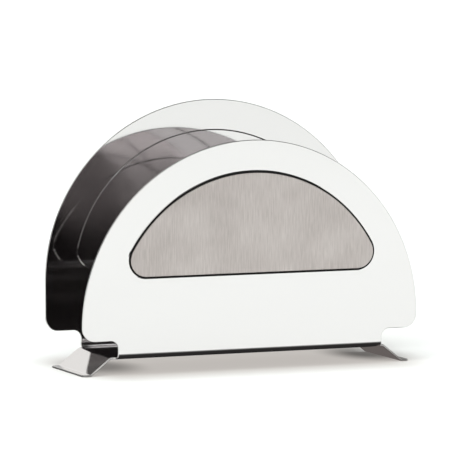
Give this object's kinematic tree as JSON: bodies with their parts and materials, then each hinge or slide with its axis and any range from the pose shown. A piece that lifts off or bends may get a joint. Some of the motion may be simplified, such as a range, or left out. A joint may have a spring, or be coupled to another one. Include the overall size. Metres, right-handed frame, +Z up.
{
  "type": "napkin holder",
  "caption": "Free-standing table napkin holder: two arched polished steel walls, the rear one taller, on a low base with sloping feet, each wall with a satin D-shaped panel.",
  "frame": {"origin": "middle of the footprint, on the table that the feet rest on", "axes": "+X along the walls, +Y from the low front wall to the tall rear wall, +Z up"},
  "size_m": [0.18, 0.0565, 0.1312],
  "materials": {
    "polished_steel": "mirror-polished stainless steel",
    "satin_steel": "satin stainless steel with vertical grain",
    "bonding_film": "black acrylic adhesive film"
  },
  "bodies": {
    "root": {"body_sheet": "polished_steel", "front_bonding_film": "bonding_film", "rear_bonding_film": "bonding_film", "front_satin_panel": "satin_steel", "rear_satin_panel": "satin_steel"}
  },
  "joints": []
}
